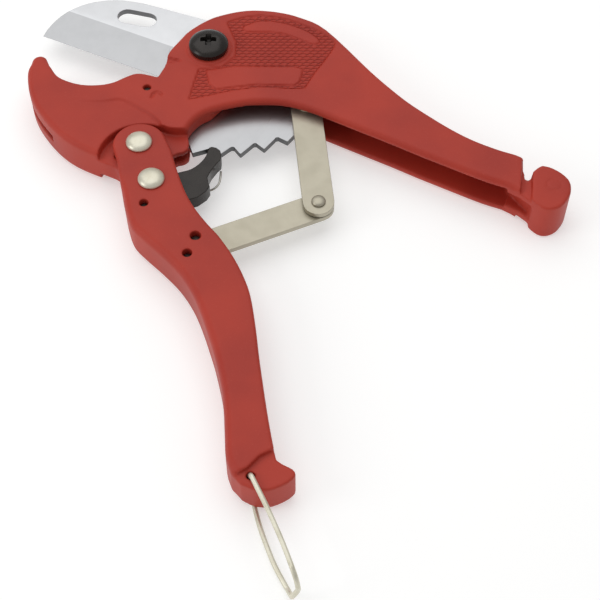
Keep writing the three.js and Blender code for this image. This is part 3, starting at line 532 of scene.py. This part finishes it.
# Orange peel of the sprayed coat, about 1.2 mm across and a few hundredths high
peel = node(tree, "ShaderNodeTexNoise", [("Vector", place)],
            [("Scale", 1 / (1.2 * MM)), ("Detail", 2.0)])
peel_bump = node(tree, "ShaderNodeBump", [("Height", peel.outputs["Fac"])],
                 [("Strength", 0.25), ("Distance", 0.06 * MM)])
tree.links.new(peel_bump.outputs["Normal"], shader.inputs["Normal"])


def lay(name, field, axes, material, body, *replaced):
    """Puts a field's surface in the scene at its place about the blade's pivot."""
    points, faces = skin(field, axes)
    piece = make_piece(name, points + PIVOT, faces, material)
    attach(piece, body)
    if replaced:
        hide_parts(*replaced)
    return piece


casting = lay("cast_frame", solid, (xs, ys, layers), enamel, "frame", "frame_casting")

# ---- Sunk panels on the head ---------------------------------------------------------------------
# Each face of the head has a shallow panel whose floor is cast as courses of small wavy bricks.
BRICK_LENGTH = 2.8
COURSE_HEIGHT = 1.5
JOINT_WIDTH = 0.55
ARCH_RISE = 0.35
BRICK_RISE = 0.5
px, py, hx, hy = grid((-8, 49), (-27, 19.5), 0.25)
row = np.floor(hy / COURSE_HEIGHT)
across = hx / BRICK_LENGTH + 0.5 * (row % 2)
share = across - np.floor(across)
arch = ARCH_RISE * 4 * share * (1 - share)
bed = np.abs(hy / COURSE_HEIGHT - row - 0.3 - arch) * COURSE_HEIGHT
head_joint = (0.5 - np.abs(share - 0.5)) * BRICK_LENGTH
brick = ((1 - ramp(bed - JOINT_WIDTH / 2, JOINT_WIDTH))
         * (1 - 0.5 * ramp(head_joint - JOINT_WIDTH / 3, JOINT_WIDTH)))
sunk = panel_share(hx, hy)
relief_top = HALF - PANEL_DEPTH - 0.12 + (0.14 + BRICK_RISE * brick) * ramp(0.75 - sunk, 0.5)
relief_rim = np.maximum(distance(PANEL, hx, hy) - 0.3, 9.0 - np.hypot(hx, hy))
relief_layers = np.array([6.6, 6.9, 7.1, 7.3, 7.45, 7.6, 7.75, 7.9, 8.1])
# The same enamel with painted shade in the joints and recesses: darker the further it lies below
# the face
RECESS_SHADE = 0.45
panel_enamel = enamel.copy()
panel_enamel.name = "enamel_in_relief"
tree = panel_enamel.node_tree
shader = tree.nodes["Principled BSDF"]
unshaded_colour = shader.inputs["Base Color"].links[0].from_socket
place = node(tree, "ShaderNodeTexCoord").outputs["Object"]
up = node(tree, "ShaderNodeSeparateXYZ", [("Vector", place)]).outputs["Z"]
below = node(tree, "ShaderNodeMath", [(0, up)], [(1, PIVOT[2] * MM)], operation="SUBTRACT")
below = node(tree, "ShaderNodeMath", [(0, below.outputs[0])], operation="ABSOLUTE")
light = node(tree, "ShaderNodeMapRange", [("Value", below.outputs[0])],
             [("From Min", (HALF - PANEL_DEPTH - 0.1) * MM), ("From Max", (HALF - 0.4) * MM),
              ("To Min", RECESS_SHADE), ("To Max", 1.0)])
darken(tree, unshaded_colour, light.outputs[0], shader)
for side, name in ((1, "brick_panel_near"), (-1, "brick_panel_far")):
    level = relief_layers[None, None, :]
    field = np.maximum(level - relief_top[..., None], 7.0 - level)
    field = np.maximum(field, relief_rim[..., None])
    if side < 0:
        field = field[:, :, ::-1]
    sheet_layers = relief_layers if side > 0 else -relief_layers[::-1]
    lay(name, field, (px, py, sheet_layers), panel_enamel, "frame")

# ---- Moving handle -------------------------------------------------------------------------------
# A die casting of channel section, open towards the fixed handle, in the same red enamel. Its web
# side is rounded to sit in the palm, and its end steps down for the wire bail.
WEB = [(4, -9.2), (13, -10.5), (20, -11.2), (27, -11.9), (34, -11.8), (40, -9.5), (48, -5.6),
       (57, -1.9), (66, 0.1), (75, 0.7), (84.6, 0.6), (92.2, 0.3), (103.8, -0.9), (112.1, -2.6),
       (119.8, -4.6), (128, -6.7), (133.6, -6.8)]
OPEN = [(133.6, 7.6), (128, 8.2), (117.2, 9.9), (99.3, 13.2), (87.8, 15.6), (75, 17.8), (66, 18),
        (57, 17), (48, 15), (42, 12.9), (35, 10.9), (28, 9.7), (21, 9.4), (14, 9.5), (7, 9.9)]
END = [(138, -5), (141.2, -1.4), (142.6, 2.6), (142.2, 7.6), (140.6, 11.2), (138.4, 11.4),
       (135.4, 8.8)]
WEB_THICKNESS = 3.4


def on_handle(table):
    """Stations of the moving handle as points."""
    return stations(HANDLE_PIVOT, HANDLE_ANGLE, table)


handle_outline = np.vstack([
    arc(HANDLE_PIVOT, 9.4, 190, 18, 20), smooth_line(on_handle(OPEN[::-1])),
    smooth_line(on_handle(END[::-1])), smooth_line(on_handle(WEB[::-1]))])
xs, ys, gx, gy = grid((-38, 37), (-192, -34), 0.6)
outline = distance(handle_outline, gx, gy)
web_side = distance(on_handle(WEB[2:]), gx, gy, closed=False)
end_side = distance(on_handle(END), gx, gy, closed=False)
edge_radius = (1.1 + 1.9 * ramp(web_side - 6, 8) * ramp(gy + 62, 12)
               + 0.8 * ramp(end_side - 4, 6))
height = depth - HALF
solid = thick(outline[..., None], height, edge_radius[..., None])
inner = [(a, o + WEB_THICKNESS) for a, o in WEB if 26 < a < 124]
hollow = on_handle([(-20, -30), (15.5, -30), (15.5, -7.2), (20, -7.6)] + inner
                   + [(124, -2.6), (126, 1), (125, 30), (-20, 30)])
ledge = on_handle([(136.6, -14), (134.6, -4.4), (134.1, -1.6), (131.4, 3), (130, 12), (160, 20),
                   (160, -14)])
# Each bore: its centre and its radius
bores = [(HANDLE_PIVOT, 3.3), (PAWL_PIVOT, 2.8), (LINK_PIN, 1.9), (ANCHOR_PIN, 1.7),
         (SPRING_PEG, 1.6), (BAIL_PIVOT, 1.4)]
CHEEK_INSIDE = 4.2
END_STEP_LEVEL = 6.2
TAIL_POCKET_RADIUS = 4.75
TAIL_POCKET_TOP = -6.5
BORE_FILLET = 0.35
solid = soft_max(solid, -channel_field(distance(hollow, gx, gy), CHEEK_INSIDE), CHANNEL_FILLET)
step_down = np.maximum(distance(ledge, gx, gy)[..., None], END_STEP_LEVEL - depth)
solid = soft_max(solid, -step_down, 0.7)
for (cx, cy), radius in bores:
    bore = (np.hypot(gx - cx, gy - cy) - radius)[..., None]
    solid = soft_max(solid, -np.broadcast_to(bore, solid.shape), BORE_FILLET)
for cx, cy in (HANDLE_PIVOT, PAWL_PIVOT):
    wall = (np.hypot(gx - cx, gy - cy) - TAIL_POCKET_RADIUS)[..., None]
    solid = soft_max(solid, -np.maximum(wall, z - TAIL_POCKET_TOP), FINE_FILLET)
casting = lay("cast_moving_handle", solid, (xs, ys, layers), enamel, "handle", "moving_handle")

# ---- Blade ---------------------------------------------------------------------------------------
# Hardened steel plate, ground flat on both faces and ground to a straight edge. It turns on the
# pivot's bush; its tail carries the ratchet teeth and a rivet for the upper link.
BLADE_EDGE_ANGLE = -25
CUT_ROUNDING = 0.12


def soften(name, width_mm=CUT_ROUNDING, segments=2, angle=32):
    """Joins a CAD node's loose triangles and rounds its edges by a radius."""
    piece = frame["nodes"][name]
    if "custom_normal" in piece.data.attributes:
        piece.data.attributes.remove(piece.data.attributes["custom_normal"])
    piece.data.polygons.foreach_set("use_smooth", np.ones(len(piece.data.polygons), bool))
    weld = piece.modifiers.new("weld", "WELD")
    weld.merge_threshold = 0.01 * MM
    flat = piece.modifiers.new("flat", "DECIMATE")
    flat.decimate_type = "DISSOLVE"
    flat.angle_limit = math.radians(0.5)
    round_edge = piece.modifiers.new("round", "BEVEL")
    round_edge.width = width_mm * MM
    round_edge.segments = segments
    round_edge.limit_method = "ANGLE"
    round_edge.angle_limit = math.radians(angle)
    round_edge.use_clamp_overlap = False
    round_edge.harden_normals = True
    return piece


def finish_with(piece, material):
    """Puts one material in place of whatever the piece has."""
    piece.data.materials.clear()
    piece.data.materials.append(material)


def metal(name, shown_hex, patch_hex, roughness, metallic, grain, grain_turn=0.0, relief=0.02):
    """A worn metal: two shades in soft patches, and a grain of given lengths along X and Y whose
    lines mark the surface and vary its gloss."""
    material, tree, shader = new_material(name, {"Metallic": metallic, "Roughness": roughness})
    place = node(tree, "ShaderNodeTexCoord").outputs["Object"]
    patches = node(tree, "ShaderNodeTexNoise", [("Vector", place)],
                   [("Scale", 1 / (6 * MM)), ("Detail", 4.0), ("Roughness", 0.6)])
    shades = node(tree, "ShaderNodeValToRGB", [("Fac", patches.outputs["Fac"])])
    shades.color_ramp.elements[0].position = 0.36
    shades.color_ramp.elements[0].color = linear(patch_hex)
    shades.color_ramp.elements[1].position = 0.56
    shades.color_ramp.elements[1].color = linear(shown_hex)
    squared = node(tree, "ShaderNodeMapping", [("Vector", place)],
                   [("Rotation", (0, 0, math.radians(-grain_turn)))])
    lengths = [1 / (length * MM) for length in grain]
    stretched = node(tree, "ShaderNodeMapping", [("Vector", squared.outputs["Vector"])],
                     [("Scale", (lengths[0], lengths[1], lengths[0]))])
    lines = node(tree, "ShaderNodeTexNoise", [("Vector", stretched.outputs["Vector"])],
                 [("Scale", 1.0), ("Detail", 2.0)])
    gloss = node(tree, "ShaderNodeMapRange", [("Value", lines.outputs["Fac"])],
                 [("To Min", roughness - 0.08), ("To Max", roughness + 0.1)])
    marks = node(tree, "ShaderNodeBump", [("Height", lines.outputs["Fac"])],
                 [("Strength", 0.5), ("Distance", relief * MM)])
    tree.links.new(shades.outputs["Color"], shader.inputs["Base Color"])
    tree.links.new(gloss.outputs["Result"], shader.inputs["Roughness"])
    tree.links.new(marks.outputs["Normal"], shader.inputs["Normal"])
    return material


# Ground steel: bright, almost white grey, with fine wheel marks square to the edge
ground_steel = metal("ground_steel", "d0d1d3", "cdced0", 0.32, 0.95, (0.25, 9.0),
                     BLADE_EDGE_ANGLE, 0.02)
BLADE_TIP = np.array([-64.4, 14.7])
BEVEL_WIDTH = 15.0
BEVEL_SHADE = 0.72
EDGE_SHADE = 0.3
tree = ground_steel.node_tree
shader = tree.nodes["Principled BSDF"]
flat_grind = shader.inputs["Base Color"].links[0].from_socket
# Painted shade: the ground bevel is painted darker than the flat, and the sheared edges and the
# teeth's sides, which face sideways, are painted dark
turn = math.radians(-BLADE_EDGE_ANGLE)
edge_level = (PIVOT[:2] + BLADE_TIP) @ [math.sin(turn), math.cos(turn)]
place = node(tree, "ShaderNodeTexCoord")
square = node(tree, "ShaderNodeMapping", [("Vector", place.outputs["Object"])],
              [("Rotation", (0, 0, turn))])
height = node(tree, "ShaderNodeSeparateXYZ", [("Vector", square.outputs[0])]).outputs["Y"]
bevel = node(tree, "ShaderNodeMapRange", [("Value", height)],
             [("From Min", (edge_level + BEVEL_WIDTH - 0.1) * MM),
              ("From Max", (edge_level + BEVEL_WIDTH + 0.1) * MM), ("To Min", BEVEL_SHADE)])
facing = node(tree, "ShaderNodeSeparateXYZ", [("Vector", place.outputs["Normal"])]).outputs["Z"]
facing = node(tree, "ShaderNodeMath", [(0, facing)], operation="ABSOLUTE").outputs[0]
side_shade = node(tree, "ShaderNodeMapRange", [("Value", facing)],
               [("From Min", 0.3), ("From Max", 0.8), ("To Min", EDGE_SHADE)])
both = node(tree, "ShaderNodeMath", [(0, bevel.outputs[0]), (1, side_shade.outputs[0])],
            operation="MULTIPLY").outputs[0]
darken(tree, flat_grind, both, shader)
finish_with(soften("blade"), ground_steel)

# ---- Pivot screw and washer ----------------------------------------------------------------------
# A black pan-head screw with a cross recess, through both walls of the head and into a thin nut.
# Its washer sits on a low cast boss.
# Black oxide: a dark brown-grey skin with a dull oily sheen on its rounded corners
black_oxide = metal("black_oxide", "2b2724", "25211f", 0.25, 0.5, (1.2, 1.2), 0, 0.03)
SCREW_SEAT = 9.6
SCREW_RADIUS = 7.3
SCREW_TOP = 13.3
SCREW_EDGE = 0.5
SHANK_RADIUS = 4.0
SHANK_BOTTOM = -7.6
RECESS_DEPTH = 2.6
xs, ys, gx, gy = grid((-7.5, 7.5), (-7.5, 7.5), 0.15)
screw_layers = np.concatenate([[-8.0, -7.8, -7.5], np.arange(-7, SCREW_SEAT - 0.4, 1.2),
                               np.arange(SCREW_SEAT - 0.35, SCREW_TOP + 0.3, 0.16)])
z = screw_layers[None, None, :]
reach = np.hypot(gx, gy)
rise = SCREW_TOP - SCREW_SEAT - SCREW_EDGE
bulge = np.sqrt(np.clip(1 - (reach / (SCREW_RADIUS + 0.2)) ** 2, 0, 1))
crown = SCREW_SEAT + SCREW_EDGE + rise * bulge
head = np.maximum((reach - SCREW_RADIUS)[..., None], np.maximum(z - crown[..., None],
                                                                SCREW_SEAT - z))
shank = np.maximum((reach - SHANK_RADIUS)[..., None],
                   np.maximum(SHANK_BOTTOM - z, z - SCREW_SEAT - 0.5))
u = np.abs(gx)[..., None]
v = np.abs(gy)[..., None]
sunk_by = SCREW_TOP - z
arm_length = 3.1 - 0.5 * sunk_by
arm_width = 1.0 - 0.1 * sunk_by
cross = np.minimum(np.maximum(u - arm_length, v - arm_width),
                   np.maximum(v - arm_length, u - arm_width))
cross = np.minimum(cross, reach[..., None] - 1.7 + 0.4 * sunk_by)
cross = np.maximum(cross, sunk_by - RECESS_DEPTH)
solid = soft_max(np.minimum(head, shank), -cross, 0.25)
screw = lay("pan_head_screw", solid, (xs, ys, screw_layers), black_oxide, "frame", "pivot_screw")


def turned(profile, centre, segments=64, hollow=False):
    """A round piece from [radius, height] pairs. A solid one starts and ends on its axis, lower
    end first; a hollow one is the closed outline of its section, taken anticlockwise."""
    ring = np.array(profile if hollow else profile[1:-1])
    angle = np.arange(segments) * 2 * math.pi / segments
    points = np.concatenate([np.column_stack([
        centre[0] + radius * np.cos(angle), centre[1] + radius * np.sin(angle),
        np.full(segments, level)]) for radius, level in ring])
    rings = len(ring)
    faces = []
    for k in range(rings if hollow else rings - 1):
        upper = (k + 1) % rings
        for i in range(segments):
            j = (i + 1) % segments
            faces.append([k * segments + i, k * segments + j, upper * segments + j,
                          upper * segments + i])
    if not hollow:
        points = np.vstack([points, [*centre, profile[0][1]], [*centre, profile[-1][1]]])
        last = (rings - 1) * segments
        for i in range(segments):
            j = (i + 1) % segments
            faces.append([j, i, len(points) - 2])
            faces.append([last + i, last + j, len(points) - 1])
    return points, faces


def add_turned(name, shape, material, body, replaced):
    """Puts a turned piece in the scene in place of its CAD node."""
    points, faces = shape
    piece = make_piece(name, points + PIVOT, faces, material)
    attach(piece, body)
    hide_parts(replaced)


def ring_section(inner, outer, low, high, chamfer):
    """The closed section of a washer or sleeve with chamfered corners."""
    c = chamfer
    return [(inner + c, low), (outer - c, low), (outer, low + c), (outer, high - c),
            (outer - c, high), (inner + c, high), (inner, high - c), (inner, low + c)]


add_turned("screw_washer", turned(ring_section(4.3, 7.0, 8.8, 9.5, 0.12), (0, 0), 72, True),
           black_oxide, "frame", "pivot_washer")

# ---- Pivot bush, nut and hidden pins -------------------------------------------------------------
# Plain turned steel: the sleeve that the blade turns on, the lock nut and its washer in the far
# side's counterbore, the handle's sleeve, and the pins pressed into their holes.
# Turned steel: a mid grey with fine rings and a soft shine
plain_steel = metal("plain_steel", "a9a7a1", "8f8c86", 0.38, 0.9, (0.4, 0.4), 0, 0.01)
# Pin ends deep in their holes: the same steel painted dark, as painted shade for the shadow inside
# the holes
shaded_pin_steel = metal("shaded_pin_steel", "4a443f", "2e2a27", 0.5, 0.6, (0.5, 0.5), 0, 0.02)
# Each ring: its name, (inner radius, outer radius, low level, high level), its centre, the body
# it rides on and the CAD node it replaces
for name, section, centre, body, replaced in (
        ("blade_bush", (4.3, 6.0, -1.4, 1.4), (0, 0), "frame", "pivot_bush"),
        ("nut_washer", (4.3, 7.4, -4.6, -3.9), (0, 0), "frame", "pivot_nut_washer"),
        ("tongue_bush", (3.3, 4.3, -3.9, 3.9), HANDLE_PIVOT, "frame", "handle_bush"),
        ("link_tube", (1.9, 4.4, -4.0, -1.0), LINK_PIN, "handle", "link_spacer")):
    add_turned(name, turned(ring_section(*section, 0.15), centre, 56, True), plain_steel,
               body, replaced)
finish_with(soften("pivot_lock_nut", 0.3), plain_steel)
PIN_CHAMFER = 0.25
# Each pin: its node's name, centre, radius, low level, high level, body and slot
for name, centre, radius, low, high, body, slot_name in (
        ("blade_stop_pin", STOP_PIN, 1.25, -6.6, 6.6, "frame", "plain_steel"),
        ("lower_link_pin", LINK_PIN, 1.6, -5.6, 5.6, "handle", "plain_steel"),
        ("spring_anchor_pin", ANCHOR_PIN, 1.4, 1.8, 5.6, "handle", "plain_steel"),
        ("pawl_spring_peg", SPRING_PEG, 1.3, 4.4, 6.0, "handle", "spring_steel")):
    c = PIN_CHAMFER
    pin = [(0, low), (radius - c, low), (radius, low + c), (radius, high - c),
           (radius - c, high), (0, high)]
    add_turned("turned_" + name, turned(pin, centre, 40), shaded_pin_steel, body, name)

# ---- Handle rivets -------------------------------------------------------------------------------
# Two domed nickel-plated rivets hold the moving handle to the frame and the pawl to the handle.
# Their tails are flattened into pockets on the far side.
# Nickel plate: a warm pale metal, satin where it has been handled
nickel = metal("nickel_plate", "b3ad9c", "aca695", 0.4, 0.8, (1.5, 1.5), 0, 0.012)
# The rivets' domes and the bail: the same plate, paler where the curve gathers the light
pale_nickel = metal("pale_nickel", "dcd8c6", "cdc8b4", 0.36, 0.6, (1.5, 1.5), 0, 0.01)
DOME_RADIUS = 4.65
DOME_SEAT = 8.1
DOME_RISE = 2.05
DOME_START = DOME_SEAT + 0.25
TAIL_BOTTOM = -7.9
TAIL_TOP = -6.7
for name, centre, shank_radius, replaced in (
        ("handle_rivet", HANDLE_PIVOT, 3.0, "handle_pivot_rivet"),
        ("pawl_rivet", PAWL_PIVOT, 2.5, "pawl_pivot_rivet")):
    bend = np.radians(np.linspace(0, 86, 18))
    dome = np.column_stack([DOME_RADIUS * np.cos(bend), DOME_START + DOME_RISE * np.sin(bend)])
    rivet = [(0, TAIL_BOTTOM), (DOME_RADIUS - 0.7, TAIL_BOTTOM), (DOME_RADIUS - 0.3, -7.6),
             (DOME_RADIUS - 0.3, -6.9), (DOME_RADIUS - 0.5, TAIL_TOP), (shank_radius, TAIL_TOP),
             (shank_radius, DOME_SEAT), (DOME_RADIUS - 0.15, DOME_SEAT), *dome.tolist(),
             (0, DOME_START + DOME_RISE)]
    add_turned(name, turned(rivet, centre, 72), pale_nickel, "handle", replaced)

# ---- Links and their rivets ----------------------------------------------------------------------
# Two nickel-plated straps make the knee: one from the blade's tail, one from the moving handle,
# joined by a button rivet. Another rivet, hidden in the head, holds the upper one to the blade.
for name in ("upper_link", "lower_link", "knee_rivet", "blade_link_rivet"):
    finish_with(soften(name, 0.15), nickel)

# ---- Pawl ----------------------------------------------------------------------------------------
# A forged steel pawl, black like the screw, on its rivet inside the moving handle's channel. Its
# slotted head straddles the blade's teeth.
finish_with(soften("ratchet_pawl", 0.3, 3, 40), black_oxide)

# ---- Wires: springs and bail ---------------------------------------------------------------------
# Drawn spring wire: the pawl's spring, the opening spring coiled on the link's pin, and the heavy
# bail whose bent ends sit in the hole at the moving handle's end.


def tube(path, radius, sides):
    """A round wire along a path, its ends closed: the section is carried along without twist."""
    path = np.asarray(path, float)
    ahead = np.gradient(path, axis=0)
    ahead /= np.linalg.norm(ahead, axis=1)[:, None]
    side = np.cross(ahead[0], [0.31, 0.54, 0.78])
    angle = np.arange(sides) * 2 * math.pi / sides
    rings = []
    for point, way in zip(path, ahead):
        side = side - way * (side @ way)
        side /= np.linalg.norm(side)
        up = np.cross(way, side)
        rings.append(point + radius * (np.cos(angle)[:, None] * side + np.sin(angle)[:, None] * up))
    faces = []
    for k in range(len(path) - 1):
        for i in range(sides):
            j = (i + 1) % sides
            faces.append([k * sides + i, k * sides + j, (k + 1) * sides + j, (k + 1) * sides + i])
    last = (len(path) - 1) * sides
    faces.append(list(range(sides))[::-1])
    faces.append([last + i for i in range(sides)])
    return np.concatenate(rings), faces


# Spring wire: grey with a drawn shine along its length
spring_wire = metal("spring_wire", "b8b5ad", "9d9a93", 0.34, 0.9, (0.3, 0.3), 0, 0.006)
COIL_RADIUS = 3.3
WIRE = 0.4
coil = [(*arc(PAWL_PIVOT, COIL_RADIUS, 200 + 36 * i, 0, 1)[0], -2.05 - 0.09 * i) for i in range(16)]
pawl_spring_path = coil + [(-12.6, -61, -2.95), (-8, -60.2, -2.95), (-4, -59.5, -2.95),
                           (-0.5, -58.9, -2.95), (2.3, -58.7, -2.85), (4, -58, -2.2),
                           (5.2, -56.5, -1.6), (5.6, -54, -1.3), (5.7, -51.5, -1.3)]
along_link = stations(LINK_PIN, 23, [(6.4, 3.1), (3, 3.1), (-2.6, -3.7)])
opening_path = [(*along_link[0], 2.0), (*along_link[1], 2.0)]
opening_path += [(*arc(LINK_PIN, 3.1, 113 + 36 * i, 0, 1)[0], 2.0 + 0.095 * i) for i in range(16)]
behind_x, behind_y = arc(ANCHOR_PIN, 2.1, -15, 0, 1)[0]
opening_path += [(*along_link[2], 3.425), (behind_x + 0.2, behind_y + 1.6, 3.425),
                 (behind_x - 0.2, behind_y - 2.4, 3.425)]
for name, path, radius, material, slot_name, body, replaced in (
        ("pawl_wire", smooth_line(pawl_spring_path), WIRE, spring_wire, "spring_steel", "pawl",
         "pawl_spring"),
        ("opening_wire", smooth_line(opening_path), WIRE, spring_wire, "spring_steel", "handle",
         "opening_spring"),
        ("bail_wire", bail_path, BAIL_WIRE, pale_nickel, "spring_steel", "bail", "lock_bail")):
    add_turned(name, tube(path, radius, 20), material, body, replaced)
